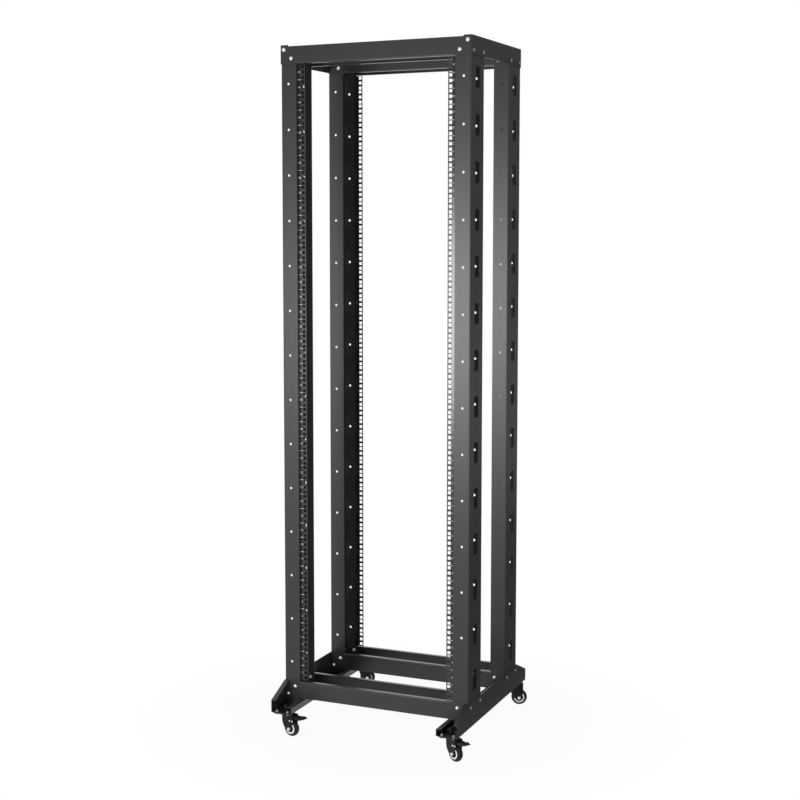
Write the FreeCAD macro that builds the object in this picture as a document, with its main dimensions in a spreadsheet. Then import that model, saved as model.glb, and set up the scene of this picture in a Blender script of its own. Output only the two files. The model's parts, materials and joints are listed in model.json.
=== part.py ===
"""Four post open frame rack: a 19 inch, 42 unit rack of folded sheet steel on four swivel casters.

The frame stands on the floor plane, z = 0. The x axis runs to the right, y to the back and z up, and the
origin lies on the floor, in the middle between the posts. Lengths are in millimetres and angles in degrees.
"""
import FreeCAD, Part
import math
import operator
import os

import Sketcher

DIMENSIONS = [
    # alias, value, note
    ("rack_width", 600.0, "over the side plates"),
    ("rack_depth", 450.0, "over the outer flanges of the posts"),
    ("sheet", 2.0, "thickness of all folded sheet"),
    ("fold_inside", 1.0, "inside radius of a fold"),
    ("post_depth", 110.0, "over the two flanges of one post"),
    ("flange_width", 48.0, "each post flange, over the web"),
    ("flange_hole_inset", 23.0, "hole centre from the outside of the web"),
    ("flange_hole_radius", 3.75, "round holes in both flanges"),
    ("flange_hole_pitch", 135.0, "between flange holes, and between web slots"),
    ("flange_hole_count", 14, "holes in each flange"),
    ("slot_width", 36.0, "slots in the post web, across"),
    ("slot_height", 62.0, "slots in the post web, upright"),
    ("slot_corner", 6.0, "rounded corners of the slots"),
    ("unit", 44.45, "height of one rack unit"),
    ("unit_count", 42, "rack units"),
    ("unit_end_hole", 6.35, "outer square holes from the edge of their unit"),
    ("square_hole", 9.5, "side of the square holes"),
    ("rail_width", 25.0, "rail strip, from the post flange to the opening between the rails"),
    ("hole_column_inset", 7.55, "column of square holes from the inner edge of the rail"),
    ("rail_recess", 10.0, "rail strip behind the face of the post flange"),
    ("rail_gap", 2.0, "rail ends to the cross beams"),
    ("tyre_to_channel", 24.0, "top of the tyres to the underside of the base channels"),
    ("channel_width", 68.0, "base channel, outside"),
    ("channel_overhang", 95.0, "base channel beyond the posts, front and rear"),
    ("tip_height", 38.0, "outer wall of the base channel at its tips"),
    ("inner_wall_height", 22.0, "inner wall of the base channel"),
    ("inner_lip_width", 16.0, "lip on top of the inner wall"),
    ("slope_lip_width", 15.0, "lips along the sloped ends of the outer wall"),
    ("beam_height", 52.0, "cross beams"),
    ("beam_return", 15.0, "folded edge of the cross beams"),
    ("beam_lift", 24.0, "cross beams above the underside of the base channels"),
    ("beam_clearance", 0.5, "folded edge of a beam to the post flanges"),
    ("top_panel_height", 54.0, "side panels at the top"),
    ("top_panel_rise", 4.0, "side panels above the top cross beams"),
    ("top_tab_width", 25.0, "tabs at the ends of the side panels"),
    ("swivel_setback", 62.0, "swivel axis from the face of the post"),
    ("swivel_trail", 23.0, "wheel axis behind the swivel axis"),
    ("wheel_radius", 25.0, "over the tyre"),
    ("tyre_width", 20.0, "over the tyre"),
    ("tyre_shoulder", 4.0, "bevel at the edges of the tyre"),
    ("hub_radius", 17.0, "hub under the tyre"),
    ("hub_recess", 5.0, "depth of the recess in each face of the hub"),
    ("hub_rim", 5.0, "width of the ring around the recess"),
    ("hub_boss_radius", 6.0, "boss around the axle"),
    ("axle_radius", 3.0, "axle shank"),
    ("axle_head_radius", 6.0, "head and nut of the axle"),
    ("axle_head_height", 4.0, "head and nut of the axle"),
    ("running_gap", 0.05, "shanks in their bores"),
    ("side_gap", 0.5, "boss of the hub to the fork legs"),
    ("face_gap", 0.3, "swivel faces to each other"),
    ("fork_gap", 24.0, "between the fork legs"),
    ("fork_sheet", 2.0, "thickness of the fork legs"),
    ("fork_top_thickness", 2.5, "top plate of the fork"),
    ("fork_front", 4.5, "fork legs in front of the swivel axis"),
    ("fork_back", 36.0, "fork legs behind the swivel axis"),
    ("fork_nose_radius", 16.0, "rounded front of the fork's top plate, about the swivel axis"),
    ("fork_front_straight", 15.0, "straight part of the front edge of a leg"),
    ("fork_back_straight", 16.0, "straight part of the back edge of a leg"),
    ("fork_eye_radius", 9.0, "rounded end of the fork legs"),
    ("plate_thickness", 2.5, "caster plate"),
    ("plate_width", 50.0, "caster plate across the channel"),
    ("plate_length", 66.0, "caster plate along the channel"),
    ("raceway_radius", 16.0, "raceway under the caster plate"),
    ("raceway_depth", 3.2, "raceway under the caster plate"),
    ("kingpin_radius", 6.0, "kingpin through the fork"),
    ("kingpin_head_radius", 9.0, "head of the kingpin"),
    ("kingpin_head_height", 2.7, "head of the kingpin"),
    ("pedal_pin_setback", 5.0, "pedal pin behind the wheel axis"),
    ("pedal_pin_lift", 7.5, "pedal pin above the top of the tyre"),
    ("pedal_pin_radius", 2.0, "pedal pin"),
    ("pedal_boss_radius", 3.6, "eye of the pedal around its pin"),
    ("pedal_width", 22.0, "pedal between the fork legs"),
    ("pedal_heel_along", 12.0, "heel of the pedal behind its pin"),
    ("pedal_heel_up", 7.0, "heel of the pedal above its pin"),
    ("pedal_waist_along", 28.0, "hollow in the top of the pedal"),
    ("pedal_waist_up", 6.5, "hollow in the top of the pedal"),
    ("pedal_toe_along", 34.0, "raised toe of the pedal"),
    ("pedal_toe_up", 9.5, "raised toe of the pedal"),
    ("pedal_tip_along", 49.0, "tip of the pedal"),
    ("pedal_tip_up", 5.0, "tip of the pedal"),
    ("pedal_sole_along", 32.0, "underside of the pedal below the toe"),
    ("pedal_sole_up", -1.0, "underside of the pedal below the toe"),
    ("pedal_arch_along", 15.0, "underside of the pedal in the middle"),
    ("pedal_arch_up", -2.0, "underside of the pedal in the middle"),
    ("angle_front_left", -14.0, "direction of the trail from the x axis"),
    ("angle_front_right", -30.0, "direction of the trail from the x axis"),
    ("angle_rear_left", 17.0, "direction of the trail from the x axis"),
    ("angle_rear_right", 17.5, "direction of the trail from the x axis"),
]

NEAR = 1e-6  # lengths below this count as none
SMALLEST_CUT = 1.0  # volume that a cut takes off at least

OPERATIONS = {"+": operator.add, "-": operator.sub, "*": operator.mul, "/": operator.truediv}


class Size:
    """A length or angle, as a number and as the sheet expression that drives it."""

    def __init__(self, text, value):
        self.text = text
        self.value = value

    def join(self, sign, other, swapped=False):
        other = other if isinstance(other, Size) else Size(repr(other), other)
        first, second = (other, self) if swapped else (self, other)
        value = OPERATIONS[sign](first.value, second.value)
        return Size("(%s %s %s)" % (first.text, sign, second.text), value)

    def __add__(self, other):
        return self.join("+", other)

    def __radd__(self, other):
        return self.join("+", other, swapped=True)

    def __sub__(self, other):
        return self.join("-", other)

    def __rsub__(self, other):
        return self.join("-", other, swapped=True)

    def __mul__(self, other):
        return self.join("*", other)

    def __rmul__(self, other):
        return self.join("*", other, swapped=True)

    def __truediv__(self, other):
        return self.join("/", other)

    def __neg__(self):
        return self.join("*", -1)


doc = FreeCAD.newDocument("rack")
sheet_object = doc.addObject("Spreadsheet::Sheet", "Dimensions")
size = {}
for row, (alias, number, note) in enumerate(DIMENSIONS, start=1):
    sheet_object.set("A%d" % row, alias)
    sheet_object.set("B%d" % row, str(number))
    sheet_object.set("C%d" % row, note)
    sheet_object.setAlias("B%d" % row, alias)
    size[alias] = Size("Dimensions.%s" % alias, number)
doc.recompute()

# Planes and levels that the pieces share
half_width = size["rack_width"] / 2
half_depth = size["rack_depth"] / 2
sheet = size["sheet"]
web_face = half_width - sheet
inner_fold = size["fold_inside"]
outer_fold = inner_fold + sheet
nothing = sheet - sheet
flange_edge = web_face - size["flange_width"]
rail_edge = flange_edge - size["rail_width"]
hole_column = rail_edge + size["hole_column_inset"]
inner_face = half_depth - size["post_depth"]
flange_hole_x = web_face - size["flange_hole_inset"]
channel_bottom = size["wheel_radius"] * 2 + size["tyre_to_channel"]
channel_floor = channel_bottom + sheet
channel_inside = half_width - size["channel_width"]
channel_end = half_depth + size["channel_overhang"]
base_beam_bottom = channel_bottom + size["beam_lift"]
base_beam_top = base_beam_bottom + size["beam_height"]
rail_bottom = base_beam_top + size["rail_gap"]
units_height = size["unit"] * size["unit_count"]
units_bottom = rail_bottom + size["rail_gap"]
rail_top = units_bottom + units_height
top_beam_bottom = rail_top + size["rail_gap"]
top_beam_top = top_beam_bottom + size["beam_height"]
top_panel_top = top_beam_top + size["top_panel_rise"]
units_middle = units_bottom + units_height / 2
hole_run = size["flange_hole_pitch"] * (size["flange_hole_count"] - 1)
lowest_hole = units_middle - hole_run / 2
swivel_x = half_width - size["channel_width"] / 2
swivel_y = half_depth + size["swivel_setback"]


def bind(thing, **sizes):
    """Drive properties of an object by sheet expressions."""
    for name, value in sizes.items():
        thing.setExpression(name.replace("__", "."), value.text)


def new_body(label):
    body = doc.addObject("PartDesign::Body", label)
    body.Label = label
    return body


def new_sketch(body, name, role, lift=None):
    """A sketch on one of the body's own origin planes, lifted along the plane's normal."""
    drawing = body.newObject("Sketcher::SketchObject", name)
    plane = [item for item in body.Origin.OriginFeatures if item.Role == role][0]
    drawing.AttachmentSupport = [(plane, "")]
    drawing.MapMode = "FlatFace"
    if lift is not None:
        drawing.setExpression(".AttachmentOffset.Base.z", lift.text)
    return drawing


def vector(point):
    return FreeCAD.Vector(point[0].value, point[1].value, 0)


def fix_point(drawing, curve, end, point):
    for direction, value in zip(("DistanceX", "DistanceY"), point):
        index = drawing.addConstraint(Sketcher.Constraint(direction, curve, end, value.value))
        drawing.setExpression("Constraints[%d]" % index, value.text)


def draw_polygon(drawing, points, rounds=None):
    """A closed outline through pairs of sizes; rounds gives a radius to corners of level and upright lines."""
    rounds = rounds or {}
    arriving, leaving, arcs = [], [], {}
    for place, point in enumerate(points):
        ends = []
        for other in (points[place - 1], points[(place + 1) % len(points)]):
            steps = [there.value - here.value for here, there in zip(point, other)]
            ends.append([math.copysign(1.0, step) if abs(step) > NEAR else 0.0 for step in steps])
        if place not in rounds:
            arriving.append(point)
            leaving.append(point)
            continue
        radius = rounds[place]
        towards = [
            tuple(here + radius * way if way else here for here, way in zip(point, end)) for end in ends
        ]
        arriving.append(towards[0])
        leaving.append(towards[1])
        left_turn = ends[0][1] * ends[1][0] - ends[0][0] * ends[1][1] > 0
        middle = FreeCAD.Vector(*(here.value + radius.value * (first + second)
                                  for here, first, second in zip(point, *ends)), 0)
        arcs[place] = (radius, middle, left_turn)

    count = len(points)
    reaching = arriving[1:] + arriving[:1]
    lines = [Part.LineSegment(vector(start), vector(end)) for start, end in zip(leaving, reaching)]
    first = drawing.addGeometry(lines, False)[0]
    for step in range(count):
        before, after = first + (step - 1) % count, first + step
        fix_point(drawing, after, 1, leaving[step])
        if step not in arcs:
            drawing.addConstraint(Sketcher.Constraint("Coincident", before, 2, after, 1))
            continue
        fix_point(drawing, before, 2, arriving[step])
        radius, middle, left_turn = arcs[step]
        tips = [vector(tip[step]) for tip in (arriving, leaving)]
        if not left_turn:
            tips.reverse()
        angles = [math.atan2(tip.y - middle.y, tip.x - middle.x) for tip in tips]
        if angles[1] < angles[0]:
            angles[1] += 2 * math.pi
        circle = Part.Circle(middle, FreeCAD.Vector(0, 0, 1), radius.value)
        arc = drawing.addGeometry(Part.ArcOfCircle(circle, *angles), False)
        drawing.addConstraint(Sketcher.Constraint("Coincident", arc, 1 if left_turn else 2, before, 2))
        drawing.addConstraint(Sketcher.Constraint("Coincident", arc, 2 if left_turn else 1, after, 1))
        index = drawing.addConstraint(Sketcher.Constraint("Radius", arc, radius.value))
        drawing.setExpression("Constraints[%d]" % index, radius.text)


def draw_box(drawing, low, high, corner=None):
    rounds = {place: corner for place in range(4)} if corner else None
    draw_polygon(drawing, [low, (high[0], low[1]), high, (low[0], high[1])], rounds)


def draw_circle(drawing, centre, radius):
    curve = drawing.addGeometry(Part.Circle(vector(centre), FreeCAD.Vector(0, 0, 1), radius.value), False)
    fix_point(drawing, curve, 3, centre)
    index = drawing.addConstraint(Sketcher.Constraint("Radius", curve, radius.value))
    drawing.setExpression("Constraints[%d]" % index, radius.text)


def pad(body, drawing, length, both_ways=False):
    feature = body.newObject("PartDesign::Pad", drawing.Name + "_pad")
    feature.Profile = drawing
    feature.Midplane = both_ways
    bind(feature, Length=length)
    drawing.Visibility = False
    return feature


def cut_through(body, drawing, reverse=False, both_ways=False):
    """A pocket through everything on one side of the sketch, or on both."""
    doc.recompute()
    before = body.Shape.Volume
    feature = body.newObject("PartDesign::Pocket", drawing.Name + "_pocket")
    feature.Profile = drawing
    feature.Type = "ThroughAll"
    feature.Reversed = reverse
    feature.Midplane = both_ways
    doc.recompute()
    if body.Shape.Volume > before - SMALLEST_CUT:
        raise RuntimeError(drawing.Name + " cuts nothing")
    return feature


def repeat_upwards(body, name, features, count, length):
    """Copies of pockets, evenly spaced up the z axis."""
    before = body.Shape.Volume
    pattern = body.newObject("PartDesign::LinearPattern", name)
    pattern.Originals = features
    axis = [item for item in body.Origin.OriginFeatures if item.Role == "Z_Axis"][0]
    pattern.Direction = (axis, [""])
    bind(pattern, Length=length, Occurrences=count)
    body.Tip = pattern
    doc.recompute()
    if body.Shape.Volume > before - SMALLEST_CUT:
        raise RuntimeError(name + " repeats nothing")


def mirrored(label, source, normal):
    copy = doc.addObject("Part::Mirroring", label)
    copy.Label = label
    copy.Source = source
    copy.Base = FreeCAD.Vector(0, 0, 0)
    copy.Normal = FreeCAD.Vector(normal)
    return copy


def four_corners(stem, front_left):
    """The front left piece with its mirror images at the other three corners."""
    front_right = mirrored(stem + "_front_right", front_left, (1, 0, 0))
    rear_left = mirrored(stem + "_rear_left", front_left, (0, 1, 0))
    rear_right = mirrored(stem + "_rear_right", rear_left, (1, 0, 0))
    return [front_left, front_right, rear_left, rear_right]


def make_post():
    """The front left post: a channel, open towards the inside, that stands in the base channel."""
    body = new_body("post_front_left")
    section = new_sketch(body, "post_section", "XY_Plane", channel_floor)
    draw_polygon(section, [
        (-web_face, -half_depth),
        (-flange_edge, -half_depth),
        (-flange_edge, -half_depth + sheet),
        (-web_face + sheet, -half_depth + sheet),
        (-web_face + sheet, -inner_face - sheet),
        (-flange_edge, -inner_face - sheet),
        (-flange_edge, -inner_face),
        (-web_face, -inner_face),
    ], {0: outer_fold, 3: inner_fold, 4: inner_fold, 7: outer_fold})
    pad(body, section, top_beam_top - channel_floor)

    flange_hole = new_sketch(body, "flange_hole", "XZ_Plane")
    draw_circle(flange_hole, (-flange_hole_x, lowest_hole), size["flange_hole_radius"])
    flange_pocket = cut_through(body, flange_hole, reverse=True)

    web_middle = -half_depth + size["post_depth"] / 2
    web_slot = new_sketch(body, "web_slot", "YZ_Plane")
    draw_box(
        web_slot,
        (web_middle - size["slot_width"] / 2, lowest_hole - size["slot_height"] / 2),
        (web_middle + size["slot_width"] / 2, lowest_hole + size["slot_height"] / 2),
        size["slot_corner"],
    )
    slot_pocket = cut_through(body, web_slot)
    repeat_upwards(body, "post_hole_rows", [flange_pocket, slot_pocket], size["flange_hole_count"], hole_run)
    return body


def make_rail():
    """The front left rail: a strip of square holes, set back from the flange by its folded side."""
    body = new_body("rail_front_left")
    strip_face = -half_depth + size["rail_recess"]
    section = new_sketch(body, "rail_section", "XY_Plane", rail_bottom)
    draw_polygon(section, [
        (-flange_edge, -half_depth),
        (-flange_edge + sheet, -half_depth),
        (-flange_edge + sheet, strip_face),
        (-rail_edge, strip_face),
        (-rail_edge, strip_face + sheet),
        (-flange_edge, strip_face + sheet),
    ], {2: inner_fold, 5: outer_fold})
    pad(body, section, rail_top - rail_bottom)

    unit_holes = new_sketch(body, "unit_holes", "XZ_Plane")
    half_hole = size["square_hole"] / 2
    end_hole = size["unit_end_hole"]
    for level in (end_hole, size["unit"] / 2, size["unit"] - end_hole):
        middle = units_bottom + level
        low = (-hole_column - half_hole, middle - half_hole)
        draw_box(unit_holes, low, (-hole_column + half_hole, middle + half_hole))
    unit_pocket = cut_through(body, unit_holes, reverse=True)
    repeat_upwards(body, "rail_units", [unit_pocket], size["unit_count"], units_height - size["unit"])
    return body


def make_base_channel():
    """The left base channel: a floor, a low lipped inner wall and a tall outer wall, sloped at both ends."""
    body = new_body("base_channel_left")
    inner_wall_top = channel_bottom + size["inner_wall_height"]
    section = new_sketch(body, "channel_section", "XZ_Plane")
    draw_polygon(section, [
        (-half_width, channel_bottom),
        (-channel_inside, channel_bottom),
        (-channel_inside, inner_wall_top),
        (-channel_inside - size["inner_lip_width"], inner_wall_top),
        (-channel_inside - size["inner_lip_width"], inner_wall_top - sheet),
        (-channel_inside - sheet, inner_wall_top - sheet),
        (-channel_inside - sheet, channel_floor),
        (-half_width + sheet, channel_floor),
        (-half_width + sheet, base_beam_top),
        (-half_width, base_beam_top),
    ], {0: outer_fold, 1: outer_fold, 2: outer_fold, 5: inner_fold, 6: inner_fold})
    pad(body, section, channel_end * 2, both_ways=True)

    slope_start = half_depth + sheet
    tip_top = channel_bottom + size["tip_height"]
    above = base_beam_top + size["tip_height"]
    slopes = new_sketch(body, "end_slopes", "YZ_Plane")
    for side in (-1, 1):
        draw_polygon(slopes, [
            (slope_start * side, base_beam_top),
            (channel_end * side, tip_top),
            (channel_end * side, above),
            (slope_start * side, above),
        ])
    cut_through(body, slopes, both_ways=True)

    lips = new_sketch(body, "slope_lips", "YZ_Plane", -half_width + sheet)
    for side in (-1, 1):
        draw_polygon(lips, [
            (slope_start * side, base_beam_top),
            (channel_end * side, tip_top),
            (channel_end * side, tip_top - sheet),
            (slope_start * side, base_beam_top - sheet),
        ])
    pad(body, lips, size["slope_lip_width"] - sheet)
    return body


def make_beam(label, face, inward, bottom, return_at_top):
    """A cross beam whose plate starts at y = face and whose folded edge points along inward."""
    body = new_body(label)
    far = face + sheet * inward
    reach = face + size["beam_return"] * inward
    top = bottom + size["beam_height"]
    fold, free = (top, bottom) if return_at_top else (bottom, top)
    inside = fold - sheet if return_at_top else fold + sheet
    folded = flange_edge - size["beam_clearance"]
    section = new_sketch(body, label + "_section", "YZ_Plane")
    draw_polygon(section, [
        (face, free),
        (face, fold),
        (reach, fold),
        (reach, inside),
        (far, inside),
        (far, free),
    ], {1: outer_fold, 4: inner_fold})
    pad(body, section, folded * 2, both_ways=True)

    ends = new_sketch(body, label + "_ends", "XZ_Plane", -face if inward < 0 else -far)
    for side in (-1, 1):
        draw_box(ends, (folded * side, bottom), (web_face * side, top))
    pad(body, ends, sheet)
    return body


def make_beams():
    """Base and top cross beams, one on each flange of the front posts and of the rear posts."""
    beams = []
    for end, side in (("front", -1), ("rear", 1)):
        outer = (half_depth + sheet) * side
        outer_over_tab = (half_depth + sheet * 2) * side
        inner = (inner_face - sheet) * side
        beams.append(make_beam("base_beam_%s_outer" % end, outer, -side, base_beam_bottom, True))
        beams.append(make_beam("base_beam_%s_inner" % end, inner, side, base_beam_bottom, True))
        beams.append(make_beam("top_beam_%s_outer" % end, outer_over_tab, -side, top_beam_bottom, False))
        beams.append(make_beam("top_beam_%s_inner" % end, inner, side, top_beam_bottom, False))
    return beams


def make_top_panel():
    """The left top side panel: a plate outside the posts with a tab folded in at each end."""
    body = new_body("top_panel_left")
    end = half_depth + sheet
    section = new_sketch(body, "panel_section", "XY_Plane", top_panel_top - size["top_panel_height"])
    tab_edge = half_width - size["top_tab_width"]
    draw_polygon(section, [
        (-half_width, -end),
        (-tab_edge, -end),
        (-tab_edge, -end + sheet),
        (-half_width + sheet, -end + sheet),
        (-half_width + sheet, end - sheet),
        (-tab_edge, end - sheet),
        (-tab_edge, end),
        (-half_width, end),
    ], {0: outer_fold, 3: inner_fold, 4: inner_fold, 7: outer_fold})
    pad(body, section, size["top_panel_height"])
    return body


# Casters: drawn about their swivel axis, with the trail along x, then turned and placed

fork_half = size["fork_gap"] / 2 + size["fork_sheet"]
plate_bottom = channel_bottom - size["plate_thickness"]
raceway_bottom = plate_bottom - size["raceway_depth"]
fork_top = raceway_bottom - size["face_gap"]
fork_underside = fork_top - size["fork_top_thickness"]
wheel_place = (size["swivel_trail"], size["wheel_radius"])
pedal_pin = (
    size["swivel_trail"] + size["pedal_pin_setback"],
    size["wheel_radius"] * 2 + size["pedal_pin_lift"],
)


def revolve_about_axle(body, drawing):
    """Turn a profile about the wheel's axle, a line of the sketch drawn along y."""
    trail = size["swivel_trail"]
    span = size["wheel_radius"]
    low = FreeCAD.Vector(trail.value, -span.value, 0)
    high = FreeCAD.Vector(trail.value, span.value, 0)
    axle_line = drawing.addGeometry(Part.LineSegment(low, high), True)
    fix_point(drawing, axle_line, 1, (trail, -span))
    fix_point(drawing, axle_line, 2, (trail, span))
    feature = body.newObject("PartDesign::Revolution", drawing.Name + "_turned")
    feature.Profile = drawing
    feature.ReferenceAxis = (drawing, ["Axis0"])
    feature.Angle = 360.0
    drawing.Visibility = False


def turned_ring(label, profile):
    """A round piece about the axle, from (radius, half width) corners of its upper half section."""
    body = new_body(label)
    drawing = new_sketch(body, label + "_profile", "XY_Plane", size["wheel_radius"])
    upper = [(size["swivel_trail"] + radius, across) for radius, across in profile]
    lower = [(along, -across) for along, across in reversed(upper)]
    draw_polygon(drawing, upper + lower)
    revolve_about_axle(body, drawing)
    return body


def make_tyre(label):
    half = size["tyre_width"] / 2
    shoulder = size["tyre_shoulder"]
    return turned_ring(label, [
        (size["hub_radius"], half),
        (size["wheel_radius"] - shoulder, half),
        (size["wheel_radius"], half - shoulder),
    ])


def make_hub(label):
    rim_half = size["tyre_width"] / 2
    boss_half = size["fork_gap"] / 2 - size["side_gap"]
    floor_half = rim_half - size["hub_recess"]
    rim_inside = size["hub_radius"] - size["hub_rim"]
    return turned_ring(label, [
        (size["axle_radius"] + size["running_gap"], boss_half),
        (size["hub_boss_radius"], boss_half),
        (size["hub_boss_radius"], floor_half),
        (rim_inside, floor_half),
        (rim_inside, rim_half),
        (size["hub_radius"], rim_half),
    ])


def make_axle(label):
    """The axle bolt: a shank through hub and legs, with its head and nut against the legs."""
    body = new_body(label)
    shank = new_sketch(body, label + "_shank", "XZ_Plane")
    draw_circle(shank, wheel_place, size["axle_radius"])
    pad(body, shank, fork_half * 2, both_ways=True)
    for name, lift in (("_head", fork_half), ("_nut", -fork_half - size["axle_head_height"])):
        end = new_sketch(body, label + name, "XZ_Plane", lift)
        draw_circle(end, wheel_place, size["axle_head_radius"])
        pad(body, end, size["axle_head_height"])
    return body


def draw_leg(drawing):
    """The outline of a fork leg: a bulging front edge and a straight back edge run into the axle eye."""
    eye = size["fork_eye_radius"]
    front, back = -size["fork_front"], size["fork_back"]
    bulge_level = fork_top - size["fork_front_straight"]
    back_level = fork_top - size["fork_back_straight"]
    centre = vector(wheel_place)
    upwards = FreeCAD.Vector(0, 0, 1)

    # the bulge starts upright at the front edge and touches the eye from outside
    ahead = front.value - centre.x
    above = bulge_level.value - centre.y
    bulge = (eye.value ** 2 - ahead ** 2 - above ** 2) / (2 * (ahead + eye.value))
    bulge_centre = FreeCAD.Vector(front.value + bulge, bulge_level.value, 0)
    front_bearing = math.atan2(centre.y - bulge_centre.y, centre.x - bulge_centre.x) + 2 * math.pi

    away = vector((back, back_level)) - centre
    back_bearing = math.atan2(away.y, away.x) - math.acos(eye.value / away.Length)
    touch = centre + FreeCAD.Vector(math.cos(back_bearing), math.sin(back_bearing), 0) * eye.value

    drawing.addGeometry([
        Part.ArcOfCircle(Part.Circle(bulge_centre, upwards, bulge), math.pi, front_bearing),
        Part.LineSegment(vector((front, bulge_level)), vector((front, fork_top))),
        Part.LineSegment(vector((front, fork_top)), vector((back, fork_top))),
        Part.LineSegment(vector((back, fork_top)), vector((back, back_level))),
        Part.LineSegment(vector((back, back_level)), touch),
        Part.ArcOfCircle(Part.Circle(centre, upwards, eye.value), front_bearing, back_bearing + 2 * math.pi),
    ], False)
    drawing.addConstraint(Sketcher.Constraint("Tangent", 0, 1, 1, 1))
    for line in (1, 2, 3):
        drawing.addConstraint(Sketcher.Constraint("Coincident", line, 2, line + 1, 1))
    drawing.addConstraint(Sketcher.Constraint("Tangent", 4, 2, 5, 2))
    drawing.addConstraint(Sketcher.Constraint("Tangent", 0, 2, 5, 1))
    fix_point(drawing, 1, 1, (front, bulge_level))
    fix_point(drawing, 1, 2, (front, fork_top))
    fix_point(drawing, 2, 2, (back, fork_top))
    fix_point(drawing, 3, 2, (back, back_level))
    fix_point(drawing, 5, 3, wheel_place)
    index = drawing.addConstraint(Sketcher.Constraint("Radius", 5, eye.value))
    drawing.setExpression("Constraints[%d]" % index, eye.text)


def make_fork(label, with_pedal):
    """The fork: two legs under a top plate, pierced for the kingpin, the axle and the pedal pin."""
    body = new_body(label)
    leg = new_sketch(body, label + "_leg", "XZ_Plane")
    draw_leg(leg)
    pad(body, leg, fork_half * 2, both_ways=True)

    between = new_sketch(body, label + "_between", "YZ_Plane")
    half_gap = size["fork_gap"] / 2
    draw_box(between, (-half_gap, -size["wheel_radius"]), (half_gap, fork_underside))
    cut_through(body, between, both_ways=True)

    nose = new_sketch(body, label + "_nose", "XY_Plane", fork_underside)
    draw_circle(nose, (nothing, nothing), size["fork_nose_radius"])
    pad(body, nose, size["fork_top_thickness"])

    kingpin_hole = new_sketch(body, label + "_kingpin_hole", "XY_Plane")
    draw_circle(kingpin_hole, (nothing, nothing), size["kingpin_radius"] + size["running_gap"])
    cut_through(body, kingpin_hole, both_ways=True)

    pin_holes = new_sketch(body, label + "_pin_holes", "XZ_Plane")
    draw_circle(pin_holes, wheel_place, size["axle_radius"] + size["running_gap"])
    if with_pedal:
        draw_circle(pin_holes, pedal_pin, size["pedal_pin_radius"] + size["running_gap"])
    cut_through(body, pin_holes, both_ways=True)
    return body


def make_pedal(label):
    """The brake pedal: a bent lever on a pin through the fork legs."""
    body = new_body(label)
    along, up = pedal_pin
    boss = size["pedal_boss_radius"]
    lever = new_sketch(body, label + "_lever", "XZ_Plane")
    bends = [(along + size["pedal_%s_along" % bend], up + size["pedal_%s_up" % bend])
             for bend in ("heel", "waist", "toe", "tip", "sole", "arch")]
    draw_polygon(lever, [(along, up + boss)] + bends + [(along, up - boss)])
    pad(body, lever, size["pedal_width"], both_ways=True)
    eye = new_sketch(body, label + "_eye", "XZ_Plane")
    draw_circle(eye, pedal_pin, boss)
    pad(body, eye, size["pedal_width"], both_ways=True)
    shank = new_sketch(body, label + "_pin", "XZ_Plane")
    draw_circle(shank, pedal_pin, size["pedal_pin_radius"])
    pad(body, shank, fork_half * 2, both_ways=True)
    return body


def make_plate(label):
    """The caster plate with the raceway and the headed kingpin below it."""
    body = new_body(label)
    centre = (nothing, nothing)
    top = new_sketch(body, label + "_top", "XY_Plane", plate_bottom)
    half_x = size["plate_width"] / 2
    half_y = size["plate_length"] / 2
    draw_box(top, (-half_x, -half_y), (half_x, half_y))
    pad(body, top, size["plate_thickness"])
    head_bottom = fork_underside - size["face_gap"] - size["kingpin_head_height"]
    for name, bottom, height, radius in (
        ("_raceway", raceway_bottom, size["raceway_depth"], size["raceway_radius"]),
        ("_kingpin", head_bottom, raceway_bottom - head_bottom, size["kingpin_radius"]),
        ("_kingpin_head", head_bottom, size["kingpin_head_height"], size["kingpin_head_radius"]),
    ):
        drawing = new_sketch(body, label + name, "XY_Plane", bottom)
        draw_circle(drawing, centre, radius)
        pad(body, drawing, height)
    return body


def place_at(thing, side_x, side_y, angle=None):
    thing.Placement = FreeCAD.Placement(FreeCAD.Vector(0, 0, 0), FreeCAD.Rotation(FreeCAD.Vector(0, 0, 1), 1))
    bind(thing, Placement__Base__x=swivel_x * side_x, Placement__Base__y=swivel_y * side_y)
    thing.setExpression("Placement.Rotation.Angle", angle.text if angle else "0")
    return thing


def make_caster(corner, side_x, side_y, with_pedal):
    angle = size["angle_" + corner]
    pieces = [place_at(make_plate("caster_plate_" + corner), side_x, side_y)]
    turned = [
        make_fork("caster_fork_" + corner, with_pedal),
        make_axle("caster_axle_" + corner),
        make_hub("caster_hub_" + corner),
        make_tyre("caster_tyre_" + corner),
    ]
    if with_pedal:
        turned.append(make_pedal("brake_pedal_" + corner))
    pieces += [place_at(piece, side_x, side_y, angle) for piece in turned]
    return pieces


nodes = four_corners("post", make_post())
nodes += four_corners("rail", make_rail())
left_channel = make_base_channel()
nodes += [left_channel, mirrored("base_channel_right", left_channel, (1, 0, 0))]
nodes += make_beams()
left_panel = make_top_panel()
nodes += [left_panel, mirrored("top_panel_right", left_panel, (1, 0, 0))]
for corner, side_x, side_y in (
    ("front_left", -1, -1),
    ("front_right", 1, -1),
    ("rear_left", -1, 1),
    ("rear_right", 1, 1),
):
    nodes += make_caster(corner, side_x, side_y, with_pedal=side_y < 0)
doc.recompute()

for item in doc.Objects:
    if "Invalid" in item.State or "Error" in item.State:
        raise RuntimeError(item.Label + " failed: " + ", ".join(item.State))
for node in nodes:
    if node.Shape.isNull() or not node.Shape.isValid() or len(node.Shape.Solids) != 1:
        raise RuntimeError(node.Label + " is not one valid solid")

os.makedirs("parts", exist_ok=True)
for node in nodes:
    node.Shape.exportStep("parts/%s.step" % node.Label)
print("wrote", len(nodes), "pieces, top at", round(top_panel_top.value, 2))
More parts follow.
